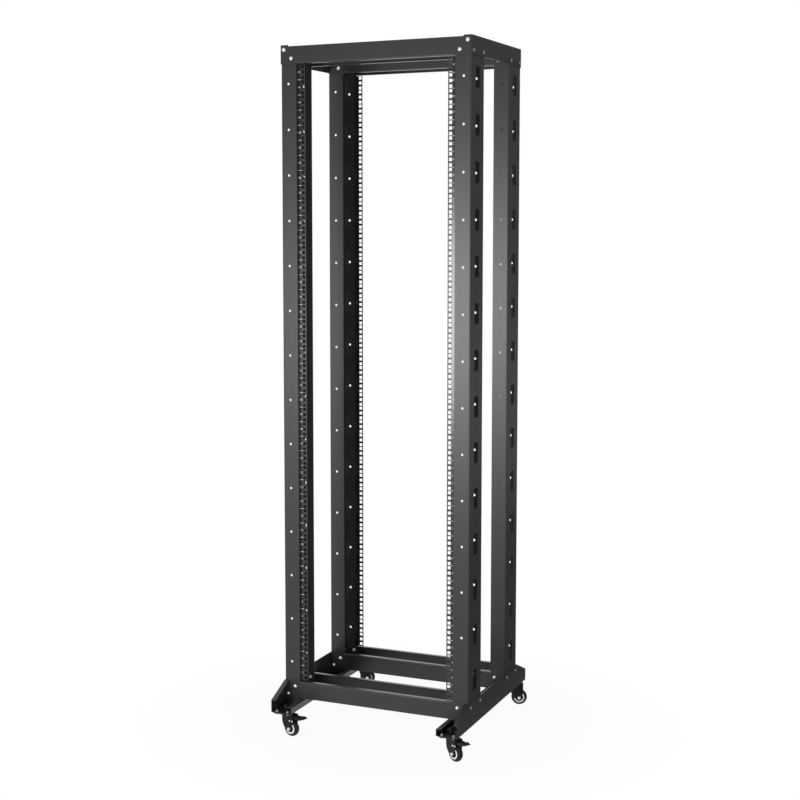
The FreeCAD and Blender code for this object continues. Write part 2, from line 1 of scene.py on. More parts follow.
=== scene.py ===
# Looks of the four post open frame rack: paint, fasteners, unit marks and casters around the CAD frame.
import json
import math

import bmesh
import bpy
from mathutils import Matrix, Vector


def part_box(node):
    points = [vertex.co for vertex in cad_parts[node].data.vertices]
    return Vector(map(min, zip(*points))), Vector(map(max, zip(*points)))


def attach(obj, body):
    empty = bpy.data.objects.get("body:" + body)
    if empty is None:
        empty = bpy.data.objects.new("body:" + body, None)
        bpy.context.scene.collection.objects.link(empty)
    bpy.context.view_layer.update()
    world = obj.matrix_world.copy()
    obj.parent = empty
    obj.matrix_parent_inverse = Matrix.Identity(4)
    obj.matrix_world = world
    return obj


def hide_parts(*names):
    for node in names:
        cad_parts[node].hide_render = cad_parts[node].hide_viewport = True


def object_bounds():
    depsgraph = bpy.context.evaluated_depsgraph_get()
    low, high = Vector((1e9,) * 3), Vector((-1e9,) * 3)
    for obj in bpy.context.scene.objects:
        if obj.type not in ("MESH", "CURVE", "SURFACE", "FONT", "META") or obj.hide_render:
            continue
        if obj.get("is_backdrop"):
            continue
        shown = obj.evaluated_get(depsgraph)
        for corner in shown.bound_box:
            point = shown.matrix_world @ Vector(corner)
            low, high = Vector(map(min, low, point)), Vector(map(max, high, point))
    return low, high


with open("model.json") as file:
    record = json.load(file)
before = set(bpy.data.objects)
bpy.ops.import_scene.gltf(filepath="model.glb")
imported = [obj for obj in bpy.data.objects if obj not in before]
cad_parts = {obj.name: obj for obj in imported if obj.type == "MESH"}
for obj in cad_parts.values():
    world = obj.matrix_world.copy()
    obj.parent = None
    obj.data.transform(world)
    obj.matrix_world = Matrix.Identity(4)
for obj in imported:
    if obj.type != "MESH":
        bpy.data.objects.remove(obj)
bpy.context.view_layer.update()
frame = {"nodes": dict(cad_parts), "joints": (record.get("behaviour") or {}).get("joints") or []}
print("frame loaded,", len(frame["nodes"]), "nodes")

mm = 0.001
corners = ("front_left", "front_right", "rear_left", "rear_right")
sheet = 2.0 * mm                # of the posts, beams and channels
postLow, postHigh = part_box("post_front_left")


# shader helpers

class Wire:
    # one output socket; sums and products of wires add Math nodes
    def __init__(self, tree, socket):
        self.tree = tree
        self.socket = socket

    def calc(self, operation, other=None, swapped=False, clamp=False):
        node = self.tree.nodes.new("ShaderNodeMath")
        node.operation = operation
        node.use_clamp = clamp
        terms = [other, self] if swapped else [self, other]
        for slot, term in zip(node.inputs, terms):
            if isinstance(term, Wire):
                self.tree.links.new(term.socket, slot)
            elif term is not None:
                slot.default_value = term
        return Wire(self.tree, node.outputs[0])

    def __add__(self, other):
        return self.calc("ADD", other)

    def __radd__(self, other):
        return self.calc("ADD", other)

    def __sub__(self, other):
        return self.calc("SUBTRACT", other)

    def __rsub__(self, other):
        return self.calc("SUBTRACT", other, swapped=True)

    def __mul__(self, other):
        return self.calc("MULTIPLY", other)

    def __rmul__(self, other):
        return self.calc("MULTIPLY", other)

    def __truediv__(self, other):
        return self.calc("DIVIDE", other)

    def __rtruediv__(self, other):
        return self.calc("DIVIDE", other, swapped=True)

    def __gt__(self, other):
        return self.calc("GREATER_THAN", other)

    def largest(self, other):
        return self.calc("MAXIMUM", other)

    def clamped(self):
        return self.calc("ADD", 0.0, clamp=True)


class Finish:
    # a material, or the world, whose nodes come from one method
    def __init__(self, name, owner=None):
        self.owner = owner or bpy.data.materials.new(name)
        self.owner.use_nodes = True
        self.tree = self.owner.node_tree
        self.tree.nodes.clear()

    def add(self, kind, settings=None, sockets=None, out=0):
        node = self.tree.nodes.new("ShaderNode" + kind)
        for key, value in (settings or {}).items():
            setattr(node, key, value)
        for key, value in (sockets or {}).items():
            slot = node.inputs[key]
            if isinstance(value, Wire):
                self.tree.links.new(value.socket, slot)
            elif slot.type == "RGBA":
                slot.default_value = (*value, 1.0)
            else:
                slot.default_value = value
        return Wire(self.tree, node.outputs[out]) if node.outputs else None

    def spot(self):
        # where a point lies on the piece, in metres
        return self.add("TexCoord", out="Object")

    def fromMiddle(self, axis):
        # how far a point lies from the middle of the rack along an axis
        return self.add("SeparateXYZ", {}, {"Vector": self.spot()}, out=axis).calc("ABSOLUTE")

    def noise(self, scale, detail=2.0, roughness=0.5):
        sockets = {"Vector": self.spot(), "Scale": scale, "Detail": detail, "Roughness": roughness}
        return self.add("TexNoise", {"noise_dimensions": "3D"}, sockets)

    def blend(self, share, first, second):
        # a colour between two, by a mask; the Mix node's colours are its sockets 6 and 7
        sockets = {0: share, 6: first, 7: second}
        return self.add("Mix", {"data_type": "RGBA"}, sockets, out=2)

    def bump(self, height, depth, strength):
        return self.add("Bump", {}, {"Height": height, "Distance": depth, "Strength": strength})

    def seen(self):
        # one for rays from the camera, a reflection or a clear piece, and zero for rays that light the rack
        camera = self.add("LightPath", out="Is Camera Ray")
        glossy = self.add("LightPath", out="Is Glossy Ray")
        through = self.add("LightPath", out="Is Transmission Ray")
        return camera.largest(glossy).largest(through)

    def surface(self, sockets):
        shader = self.add("BsdfPrincipled", {}, sockets)
        self.add("OutputMaterial", {}, {"Surface": shader})
        return self.owner


# paint of the sheet metal and the casters

paintLooks = {
    "deep": (0.0110, 0.0110, 0.0128),
    "light": (0.0210, 0.0211, 0.0238),
    "speckScale": 1400.0,
    "speckShare": 0.65,         # how much the specks and the clouds lighten it
    "cloudScale": 2.6,
    "cloudShare": 0.5,
    "less": 0.08,               # taken off, so that more of it is deep
    "peelScale": 520.0,
    "peelDepth": 0.05 * mm,
    "speckHeight": 0.35,        # of the specks, beside the orange peel
    "bump": 0.6,
    "roughness": 0.36,
    "roughSpread": 0.05,
    "gloss": 0.5,
}

enamelLooks = {
    **paintLooks,
    "deep": (0.0028, 0.0028, 0.0033),
    "light": (0.0060, 0.0060, 0.0068),
    "speckScale": 900.0,
    "cloudScale": 18.0,
    "peelScale": 240.0,
    "peelDepth": 0.04 * mm,
    "roughness": 0.38,
    "roughSpread": 0.12,
    "gloss": 0.22,
}

# inside the posts the coat is thin and dull, from halfway into the sheet
postInside = {
    "near": abs(postHigh.y) + sheet / 2,
    "far": abs(postLow.y) - sheet / 2,
    "side": abs(postLow.x) - sheet / 2,
    "rougher": 0.45,
    "tone": (0.022, 0.022, 0.0238),
}

# the rails carry a smoother band for the unit marks, beyond the square holes
railBand = {"from": 238.2 * mm, "smoother": 0.15}


def makePaint(name, looks, inside=None, band=None):
    finish = Finish(name)
    speck = finish.noise(looks["speckScale"], detail=1.0)
    cloud = finish.noise(looks["cloudScale"], detail=3.0)
    peel = finish.noise(looks["peelScale"], roughness=0.55)
    share = (looks["speckShare"] * speck + looks["cloudShare"] * cloud - looks["less"]).clamped()
    tone = finish.blend(share, looks["deep"], looks["light"])
    rough = looks["roughness"] - looks["roughSpread"] / 2 + looks["roughSpread"] * cloud
    if inside:
        across, along = finish.fromMiddle("X"), finish.fromMiddle("Y")
        within = (along > inside["near"]) * (1 - (along > inside["far"])) * (1 - (across > inside["side"]))
        rough = (rough + inside["rougher"] * within).clamped()
        tone = finish.blend(within, tone, inside["tone"])
    if band:
        rough = rough - band["smoother"] * (finish.fromMiddle("X") > band["from"])
    return finish.surface({
        "Base Color": tone,
        "Roughness": rough,
        "Specular IOR Level": looks["gloss"],
        "Normal": finish.bump(peel + looks["speckHeight"] * speck, looks["peelDepth"], looks["bump"]),
    })


paint = makePaint("satin_powder_coat", paintLooks)
postPaint = makePaint("post_coat", paintLooks, inside=postInside)
railPaint = makePaint("rail_coat", paintLooks, band=railBand)
casterPaint = makePaint("smooth_black_enamel", enamelLooks)


# metal, rubber, plastic and ink

zincLooks = {
    "bright": (0.90, 0.90, 0.91),
    "dull": (0.70, 0.71, 0.73),
    "spangleScale": 240.0,
    "contrast": 1.7,            # of the spangles
    "less": 0.35,               # taken off, so that more of it is dull
    "grainScale": 2160.0,
    "grainDepth": 0.02 * mm,
    "bump": 0.5,
    "roughness": 0.30,
    "grainRough": 0.16,         # added by the grain
    "dullRough": 0.1,           # added where it is dull
}
# a dimmer copy of the zinc, painted shade for the plate bolts down in the channels
plateBoltShadeLooks = {**zincLooks, "bright": (0.55, 0.55, 0.56), "dull": (0.34, 0.34, 0.36), "roughness": 0.42}
# a still darker copy of the zinc, painted shade for the bolts on the sides of the channels
sideBoltShadeLooks = {**zincLooks, "bright": (0.30, 0.30, 0.31), "dull": (0.17, 0.17, 0.18), "roughness": 0.34}


def makeZinc(name, looks):
    finish = Finish(name)
    spangle = finish.noise(looks["spangleScale"], detail=3.0, roughness=0.6)
    grain = finish.noise(looks["grainScale"], detail=1.0)
    share = (looks["contrast"] * spangle - looks["less"]).clamped()
    return finish.surface({
        "Base Color": finish.blend(share, looks["dull"], looks["bright"]),
        "Metallic": 1.0,
        "Roughness": looks["roughness"] + looks["grainRough"] * grain + looks["dullRough"] * (1 - share),
        "Normal": finish.bump(grain, looks["grainDepth"], looks["bump"]),
    })


zinc = makeZinc("zinc_plate", zincLooks)
plateBoltShadeZinc = makeZinc("zinc_painted_shade", plateBoltShadeLooks)
sideBoltShadeZinc = makeZinc("zinc_deep_painted_shade", sideBoltShadeLooks)

rubberLooks = {
    "deep": (0.006, 0.006, 0.0065),
    "dusty": (0.016, 0.0155, 0.015),
    "dustScale": 60.0,
    "contrast": 1.8,            # of the dust
    "less": 0.55,               # taken off, so that less of it is dusty
    "grainScale": 700.0,
    "grainDepth": 0.06 * mm,
    "bump": 0.6,
    "roughness": 0.58,
    "dustRough": 0.14,
    "gloss": 0.25,
}


def makeRubber(name, looks):
    finish = Finish(name)
    grain = finish.noise(looks["grainScale"])
    dust = finish.noise(looks["dustScale"], detail=4.0, roughness=0.65)
    share = (looks["contrast"] * dust - looks["less"]).clamped()
    return finish.surface({
        "Base Color": finish.blend(share, looks["deep"], looks["dusty"]),
        "Roughness": looks["roughness"] + looks["dustRough"] * share,
        "Specular IOR Level": looks["gloss"],
        "Normal": finish.bump(grain, looks["grainDepth"], looks["bump"]),
    })


rubber = makeRubber("tyre_rubber", rubberLooks)

plasticLooks = {
    "pale": (0.90, 0.90, 0.89),
    "shade": (0.82, 0.82, 0.815),
    "cloudScale": 45.0,
    "mouldScale": 320.0,
    "mouldDepth": 0.03 * mm,
    "bump": 0.5,
    "roughness": 0.30,
    "roughSpread": 0.1,
}
# the core's near black colour is painted shade, for the shadow in the hub's dished recess
shadedCoreLooks = {**plasticLooks, "pale": (0.05, 0.05, 0.052), "shade": (0.03, 0.03, 0.031), "roughness": 0.45}


def makePlastic(name, looks):
    finish = Finish(name)
    mould = finish.noise(looks["mouldScale"])
    cloud = finish.noise(looks["cloudScale"])
    return finish.surface({
        "Base Color": finish.blend(cloud, looks["shade"], looks["pale"]),
        "Roughness": looks["roughness"] - looks["roughSpread"] / 2 + looks["roughSpread"] * mould,
        "Normal": finish.bump(mould, looks["mouldDepth"], looks["bump"]),
    })


hubPlastic = makePlastic("hub_plastic", plasticLooks)
hubShadedCore = makePlastic("hub_core_painted_shade", shadedCoreLooks)

inkLooks = {
    "fresh": (0.88, 0.88, 0.89),
    "worn": (0.58, 0.58, 0.59),
    "wearScale": 1500.0,
    "contrast": 2.2,            # of the wear
    "less": 0.4,                # taken off, so that more of it is worn
    "roughness": 0.55,
    "roughSpread": 0.1,
}


def makeInk(name, looks):
    finish = Finish(name)
    wear = finish.noise(looks["wearScale"])
    share = (looks["contrast"] * wear - looks["less"]).clamped()
    return finish.surface({
        "Base Color": finish.blend(share, looks["worn"], looks["fresh"]),
        "Roughness": looks["roughness"] + looks["roughSpread"] * wear,
    })


ink = makeInk("printed_marks", inkLooks)
print("finishes made")


# meshes

meshRules = {"weld": 1e-7, "sharpFrom": 32.0}      # metres, and degrees between two faces
asDrawn = Matrix.Identity(4)
turnedOver = Matrix.Rotation(math.pi, 4, "X")


class Pile:
    # vertices and faces that become one piece
    def __init__(self):
        self.points = []
        self.faces = []
        self.shades = []

    def put(self, shape, place=asDrawn):
        start = len(self.points)
        self.points += [place @ Vector(point) for point in shape.points]
        self.faces += [[start + corner for corner in face] for face in shape.faces]
        self.shades += shape.shades
        return self

    def ring(self, profile, sides, shade=0):
        # turns (radius, height) pairs about z; a radius of zero closes an end
        rows = []
        for radius, height in profile:
            row = []
            for side in range(sides if radius else 1):
                angle = 2 * math.pi * side / sides
                row.append(len(self.points))
                self.points.append(Vector((radius * math.cos(angle), radius * math.sin(angle), height)))
            rows.append(row)
        made = []
        for lower, upper in zip(rows, rows[1:]):
            for side in range(sides):
                after = (side + 1) % sides
                if len(lower) == 1:
                    made.append([lower[0], upper[after], upper[side]])
                elif len(upper) == 1:
                    made.append([lower[side], lower[after], upper[0]])
                else:
                    made.append([lower[side], lower[after], upper[after], upper[side]])
        self.faces += made
        self.shades += [shade] * len(made)
        return self

    def mesh(self, name):
        mesh = bpy.data.meshes.new(name)
        mesh.from_pydata([tuple(point) for point in self.points], [], self.faces)
        for polygon, shade in zip(mesh.polygons, self.shades):
            polygon.material_index = shade
            polygon.use_smooth = True
        grid = bmesh.new()
        grid.from_mesh(mesh)
        bmesh.ops.remove_doubles(grid, verts=grid.verts, dist=meshRules["weld"])
        bmesh.ops.recalc_face_normals(grid, faces=grid.faces)
        grid.to_mesh(mesh)
        grid.free()
        mesh.set_sharp_from_angle(angle=math.radians(meshRules["sharpFrom"]))
        return mesh

    def piece(self, name, materials, body, slot=None, stands=()):
        mesh = self.mesh(name)
        for material in materials:
            mesh.materials.append(material)
        made = bpy.data.objects.new(name, mesh)
        bpy.context.scene.collection.objects.link(made)
        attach(made, body)
        if stands:
            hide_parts(*stands)


def facing(point, direction, turn=0.0):
    # a matrix that stands a shape drawn along z on a point, along a direction
    towards = Vector(direction).normalized().to_track_quat("Z", "Y").to_matrix().to_4x4()
    return Matrix.Translation(Vector(point)) @ towards @ Matrix.Rotation(turn, 4, "Z")


def turnedShape(pairs, sides, base=0.0, shade=0):
    # a shape from (radius, height) pairs in mm, with the heights above a base
    return Pile().ring([(radius * mm, base + height * mm) for radius, height in pairs], sides, shade)


# bolts of the frame

frameBolt = {
    "washer": 5.9 * mm,         # this, the head, the socket, the nut and the tail are radii
    "washerHeight": 0.7 * mm,
    "washerEdge": 0.25 * mm,
    "head": 5.5 * mm,
    "headHeight": 3.3 * mm,
    "socket": 1.5 * mm,
    "socketMouth": 1.25,        # times the socket
    "socketBevel": 0.3 * mm,
    "socketDepth": 1.3 * mm,
    "nut": 5.5 * mm,
    "nutHeight": 4.4 * mm,
    "nutTurn": 1.7,             # times the head's turn
    "tail": 2.6 * mm,
    "tailLength": 8.0 * mm,
}
nutForm = {"seat": 0.8, "foot": 0.93, "crown": 0.9, "bevel": 0.5 * mm}      # the first three times the nut
hexagon = 6


def domedHead(sizes):
    # a button head with a hexagon socket, on a washer
    sides, steps = 32, 6
    low = sizes["washerHeight"]
    top = low + sizes["headHeight"]
    deep = top - sizes["socketDepth"]
    edge = sizes["washerEdge"]
    mouth = sizes["socket"] * sizes["socketMouth"]
    shape = Pile()
    shape.ring([(0.0, 0.0), (sizes["washer"], 0.0), (sizes["washer"], low - edge),
                (sizes["washer"] - edge, low), (sizes["head"], low)], sides)
    crown = []
    for step in range(steps + 1):
        turn = math.radians(90.0 * step / steps)
        radius = mouth + (sizes["head"] - mouth) * math.cos(turn)
        crown.append((radius, low + sizes["headHeight"] * math.sin(turn)))
    shape.ring(crown, sides)
    return shape.ring([(mouth, top), (sizes["socket"], top - sizes["socketBevel"]),
                       (sizes["socket"], deep), (0.0, deep)], hexagon)


def plainNut(sizes):
    # a chamfered hexagon nut with the end of the bolt, on a washer
    washer, nut, tail = sizes["washer"], sizes["nut"], sizes["tail"]
    seat, foot, crown = nut * nutForm["seat"], nut * nutForm["foot"], nut * nutForm["crown"]
    bevel = nutForm["bevel"]
    low = sizes["washerHeight"]
    high = low + sizes["nutHeight"]
    end = high + sizes["tailLength"] - sizes["nutHeight"]
    shape = Pile()
    shape.ring([(0.0, 0.0), (washer, 0.0), (washer, low), (seat, low)], 24)
    shape.ring([(0.0, low), (foot, low), (nut, low + bevel), (nut, high - bevel), (crown, high),
                (tail, high)], hexagon)
    return shape.ring([(tail, high), (tail, end - bevel), (tail - bevel, end), (0.0, end)], 16)


head = domedHead(frameBolt)
nut = plainNut(frameBolt)


def boltThrough(pile, point, outward, thickness, turn):
    # a head outside and a nut inside of the sheets at a point
    pile.put(head, facing(point, outward, turn))
    inside = Vector(point) - Vector(outward) * thickness
    pile.put(nut, facing(inside, -Vector(outward), turn * frameBolt["nutTurn"]))


beamBolts = {
    "nearInset": 12.0 * mm,     # outer bolt from the side plate
    "farInset": 36.0 * mm,      # inner bolt from the side plate
    "nearLift": 10.0 * mm,      # outer bolt from the lower edge of a base beam, or the upper of a top beam
    "farLift": 36.0 * mm,
    "handTurn": 0.7,            # these two turn the heads, so that they don't stand alike
    "liftTurn": 1.3,
}
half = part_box("base_channel_right")[1].x
for end, side in (("front", -1), ("rear", 1)):
    for place in ("outer", "inner"):
        pile = Pile()
        for level in ("base", "top"):
            low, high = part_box("%s_beam_%s_%s" % (level, end, place))
            outward = Vector((0, side if place == "outer" else -side, 0))
            face = (high if outward.y > 0 else low).y
            sheets = 3 if (level, place) == ("top", "outer") else 2
            for hand in (-1, 1):
                for inset, lift in (("nearInset", "nearLift"), ("farInset", "farLift")):
                    up = beamBolts[lift]
                    z = low.z + up if level == "base" else high.z - up
                    point = (hand * (half - beamBolts[inset]), face, z)
                    turn = beamBolts["handTurn"] * hand + beamBolts["liftTurn"] * up / mm + side
                    boltThrough(pile, point, outward, sheets * sheet, turn)
        pile.piece("beam_bolts_%s_%s" % (end, place), [zinc], "rack_frame", "bright_zinc")

sideBolts = {
    "inset": 12.5 * mm,         # from the outer flange of the post
    "pitch": 85.0 * mm,
    "baseLift": 60.0 * mm,
    "topDrop": 43.0 * mm,
    "turn": 0.9,                # as above
}
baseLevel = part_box("base_channel_left")[0].z + sideBolts["baseLift"]
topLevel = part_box("top_panel_left")[1].z - sideBolts["topDrop"]
for name, hand in (("left", -1), ("right", 1)):
    pile = Pile()
    face = (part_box("base_channel_" + name)[0 if hand < 0 else 1]).x
    for side in (-1, 1):
        for step in (0, 1):
            y = side * (abs(postLow.y) - sideBolts["inset"] - step * sideBolts["pitch"])
            for z in (baseLevel, topLevel):
                turn = sideBolts["turn"] * y / mm + z / mm
                boltThrough(pile, (face, y, z), (hand, 0, 0), 2 * sheet, turn)
    # the side bolts take the darkest copy of the zinc, painted shade
    pile.piece("side_bolts_" + name, [sideBoltShadeZinc], "rack_frame", "bright_zinc")
print("frame bolts made")


# unit marks on the rails

markSizes = {
    "digitHeight": 5.8 * mm,
    "digitShare": 0.69,         # of the font's size
    "tickLength": 9.0 * mm,
    "tickHeight": 1.3 * mm,
    "centre": 243.2 * mm,       # from the middle of the rack
    "recess": 10.0 * mm,        # of the rail behind the face of the post
    "proud": 0.06 * mm,
    "unit": 44.45 * mm,
    "units": 42,
    "endGap": 2.0 * mm,         # rail end to the first unit
}


def flatText(words, height):
    curve = bpy.data.curves.new("digits", "FONT")
    curve.body = words
    curve.size = height / markSizes["digitShare"]
    curve.align_x = "CENTER"
    curve.align_y = "CENTER"
    curve.resolution_u = 2
    temporary = bpy.data.objects.new("digits", curve)
    bpy.context.scene.collection.objects.link(temporary)
    bpy.context.view_layer.update()
    evaluated = temporary.evaluated_get(bpy.context.evaluated_depsgraph_get())
    mesh = bpy.data.meshes.new_from_object(evaluated)
    shape = Pile()
    shape.points = [vertex.co.copy() for vertex in mesh.vertices]
    shape.faces = [list(polygon.vertices) for polygon in mesh.polygons]
    shape.shades = [0] * len(shape.faces)
    bpy.data.objects.remove(temporary)
    bpy.data.meshes.remove(mesh)
    bpy.data.curves.remove(curve)
    return shape


numbers = [flatText(str(unit + 1), markSizes["digitHeight"]) for unit in range(markSizes["units"])]
wide, tall = markSizes["tickLength"] / 2, markSizes["tickHeight"] / 2
tick = Pile()
tick.points = [Vector((x, y, 0)) for x, y in ((-wide, -tall), (wide, -tall), (wide, tall), (-wide, tall))]
tick.faces = [[0, 1, 2, 3]]
tick.shades = [0]

for corner in corners:
    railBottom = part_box("rail_" + corner)[0].z
    outward = -1 if "front" in corner else 1
    face = outward * (abs(postLow.y) - markSizes["recess"]) + outward * markSizes["proud"]
    x = (-1 if "left" in corner else 1) * markSizes["centre"]
    upright = Matrix.Rotation(math.pi / 2, 4, "X")
    if outward > 0:
        upright = Matrix.Rotation(math.pi, 4, "Z") @ upright
    pile = Pile()
    for unit in range(markSizes["units"]):
        bottom = railBottom + markSizes["endGap"] + unit * markSizes["unit"]
        middle = bottom + markSizes["unit"] / 2
        if unit:
            pile.put(tick, Matrix.Translation((x, face, bottom)) @ upright)
        pile.put(numbers[unit], Matrix.Translation((x, face, middle)) @ upright)
    pile.piece("unit_marks_" + corner, [ink], "rack_frame")
print("unit marks made")


# casters

casterSizes = {
    "wheel": 25.0 * mm,
    "tyreHalf": 10.0 * mm,
    "hub": 17.0 * mm,
    "forkHalf": 14.0 * mm,
    "rivetNear": 1.5 * mm,      # fork rivets behind the wheel's axis
    "rivetFar": 11.0 * mm,
    "rivetLift": 25.0 * mm,
    "boltX": 18.0 * mm,         # plate bolts from the axis of the swivel
    "boltY": 26.5 * mm,
    "plateSheet": 2.5 * mm,
}

tyreForm = {
    "bevels": ((0.0, 0.6), (0.4, 0.15)),    # out from the hub and in from the side, in mm
    "lip": 1.0 * mm,                        # from the hub to the tread
    "steps": 12,
    "sides": 64,
}


def makeTyre(form):
    # a crowned tread, half an ellipse from lip to lip
    wheel, half, hub = casterSizes["wheel"], casterSizes["tyreHalf"], casterSizes["hub"]
    lip = hub + form["lip"]
    profile = [(hub + out * mm, -half + inward * mm) for out, inward in form["bevels"]] + [(lip, -half)]
    for step in range(1, form["steps"] + 1):
        turn = math.radians(90.0 * step / form["steps"])
        profile.append((lip + (wheel - lip) * math.sin(turn), -half * math.cos(turn)))
    profile += [(radius, -height) for radius, height in reversed(profile[:-1])]
    return Pile().ring(profile, form["sides"])


hubForm = {
    "rim": ((0.0, 0.9), (0.5, 0.1)),        # in from the tyre's edge and from its side, in mm
    "ring": 14.2 * mm,                      # radius to the middle of the rounded ring
    "ringHalf": 2.0 * mm,
    "ringHeight": 0.9 * mm,
    "ringDrop": 0.2 * mm,
    "core": ((12.0, -1.2), (11.6, -4.6), (7.2, -5.2), (6.2, -4.4), (6.0, 1.5), (3.2, 1.5)),
    "steps": 6,
    "sides": 48,
}


def makeHub(form):
    # on both ends of a barrel, a white rounded ring around a dished core, whose near black colour is
    # painted shade for the recess
    half, edge, sides = casterSizes["tyreHalf"], casterSizes["hub"], form["sides"]
    face = [(edge - inward * mm, half - down * mm) for inward, down in form["rim"]]
    barrel = [(edge, -face[0][1]), face[0]]
    for step in range(form["steps"] + 1):
        turn = math.radians(180.0 * step / form["steps"])
        radius = form["ring"] + form["ringHalf"] * math.cos(turn)
        face.append((radius, half + form["ringHeight"] * math.sin(turn) - form["ringDrop"]))
    radius, height = form["core"][0]
    face.append((radius * mm, half + height * mm))
    shape = Pile()
    for way in (turnedOver, asDrawn):
        shape.put(Pile().ring(face, sides), way)
        shape.put(turnedShape(form["core"], sides, half, shade=1), way)
    return shape.ring(barrel, sides)


# radius and height in mm, above the leg of the fork
axleForm = {
    "washer": ((0.0, 0.0), (6.0, 0.0), (6.0, 0.9), (5.2, 1.0)),
    "head": ((5.2, 1.0), (5.2, 3.4), (4.7, 3.9), (0.0, 3.9)),
    "lockNut": ((0.0, 0.0), (5.6, 0.0), (5.9, 0.4), (5.6, 2.6)),
    "collar": ((4.7, 2.6), (4.6, 3.4), (4.1, 3.8), (3.0, 3.8), (2.9, 3.2), (0.0, 3.2)),
    "shank": 3.0 * mm,
}


def makeAxle(form):
    # a hexagon head on a washer at one end, and a lock nut at the other
    leg = casterSizes["forkHalf"]
    shape = Pile()
    shape.put(turnedShape(form["washer"], 32, leg))
    shape.put(turnedShape(form["head"], hexagon, leg))
    shape.put(turnedShape(form["lockNut"], hexagon, leg), turnedOver)
    shape.put(turnedShape(form["collar"], 24, leg), turnedOver)
    return shape.ring([(form["shank"], -leg), (form["shank"], leg)], 24)


rivetForm = {"radius": 2.6 * mm, "height": 1.3 * mm, "sunk": 0.2 * mm, "steps": 4, "sides": 20}


def makeRivet(form):
    profile = [(0.0, -form["sunk"]), (form["radius"], -form["sunk"])]
    for step in range(form["steps"]):
        turn = math.radians(90.0 * step / form["steps"])
        profile.append((form["radius"] * math.cos(turn), form["height"] * math.sin(turn)))
    profile.append((0.0, form["height"]))
    return Pile().ring(profile, form["sides"])


plateBolt = {
    "washer": 4.6 * mm,
    "washerHeight": 0.7 * mm,
    "nut": 4.1 * mm,
    "nutHeight": 3.6 * mm,
    "tail": 2.1 * mm,
    "tailLength": 5.4 * mm,
    "head": ((0.0, 0.0), (5.4, 0.0), (5.4, 1.4), (4.4, 2.4), (0.0, 2.6)),       # radius and height in mm
    "turnX": 0.8,               # these two turn the nuts, so that they don't stand alike
    "turnY": 0.3,
}
kingpinForm = (
    (0.0, 0.0), (10.0, 0.0), (10.0, 1.2), (8.0, 1.6), (8.0, 15.6), (7.6, 16.8), (6.6, 17.6), (5.4, 18.0),
    (4.2, 17.0), (0.0, 16.6))

tyre, hub, axle, rivet = makeTyre(tyreForm), makeHub(hubForm), makeAxle(axleForm), makeRivet(rivetForm)
plateNut = plainNut(plateBolt)
plateHead = turnedShape(plateBolt["head"], 20)
kingpinTop = turnedShape(kingpinForm, 32)

joints = {joint["name"]: joint for joint in frame["joints"]}
for corner in corners:
    swivel = Vector(joints["swivel_" + corner]["pos_m"])
    spin = joints["wheel_spin_" + corner]
    axleAt = Vector(spin["pos_m"])
    across = Vector(spin["axis"]).normalized()
    along = across.cross(Vector((0, 0, 1)))
    heading = Matrix((along, across, (0, 0, 1))).transposed().to_4x4()
    atAxle = Matrix.Translation(axleAt) @ heading @ Matrix.Rotation(-math.pi / 2, 4, "X")
    swivelBody, wheelBody = "caster_swivel_" + corner, "caster_wheel_" + corner

    Pile().put(tyre, atAxle).piece(
        "tyre_" + corner, [rubber], wheelBody, "tyre", ["caster_tyre_" + corner])
    Pile().put(hub, atAxle).piece(
        "hub_" + corner, [hubPlastic, hubShadedCore], wheelBody, "hub", ["caster_hub_" + corner])
    Pile().put(axle, atAxle).piece(
        "axle_bolt_" + corner, [zinc], swivelBody, "bright_zinc", ["caster_axle_" + corner])

    if "front" in corner:
        pile = Pile()
        lift = Vector((0, 0, casterSizes["rivetLift"]))
        for hand in (-1, 1):
            for back in (casterSizes["rivetNear"], casterSizes["rivetFar"]):
                point = axleAt + along * back + lift + across * hand * casterSizes["forkHalf"]
                pile.put(rivet, facing(point, across * hand))
        pile.piece("fork_rivets_" + corner, [zinc], swivelBody, "bright_zinc")

    pile = Pile()
    under = swivel.z - casterSizes["plateSheet"]
    over = swivel.z + sheet
    for sideX in (-1, 1):
        for sideY in (-1, 1):
            x = swivel.x + sideX * casterSizes["boltX"]
            y = swivel.y + sideY * casterSizes["boltY"]
            turn = plateBolt["turnX"] * sideX + plateBolt["turnY"] * sideY
            pile.put(plateNut, facing((x, y, over), (0, 0, 1), turn))
            pile.put(plateHead, facing((x, y, under), (0, 0, -1)))
    # the plate bolts take the dimmer copy of the zinc, painted shade
    pile.piece("plate_bolts_" + corner, [plateBoltShadeZinc], "rack_frame", "bright_zinc")
    Pile().put(kingpinTop, facing((swivel.x, swivel.y, over), (0, 0, 1))).piece(
        "kingpin_top_" + corner, [casterPaint], "rack_frame", "caster_black")
print("casters dressed")


# finishes on the CAD nodes

coats = {"post_": postPaint, "rail_": railPaint, "caster_": casterPaint, "brake_": casterPaint}
for name, node in frame["nodes"].items():
    coat = next((coat for start, coat in coats.items() if name.startswith(start)), paint)
    if not node.material_slots:
        node.data.materials.append(coat)
    for slot in node.material_slots:
        slot.material = coat


# floor, light and camera

white = (1.0, 1.0, 1.0)
floorLooks = {"reach": 9.0, "tone": (0.95, 0.95, 0.95), "fadeFrom": 0.45, "fadeOver": 0.5, "glow": 0.94}


def makeSheet(name, points, material):
    # one flat face that belongs to the studio
    mesh = bpy.data.meshes.new(name)
    mesh.from_pydata(points, [], [(0, 1, 2, 3)])
    mesh.materials.append(material)
    made = bpy.data.objects.new(name, mesh)
    bpy.context.scene.collection.objects.link(made)
    made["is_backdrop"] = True
    return made


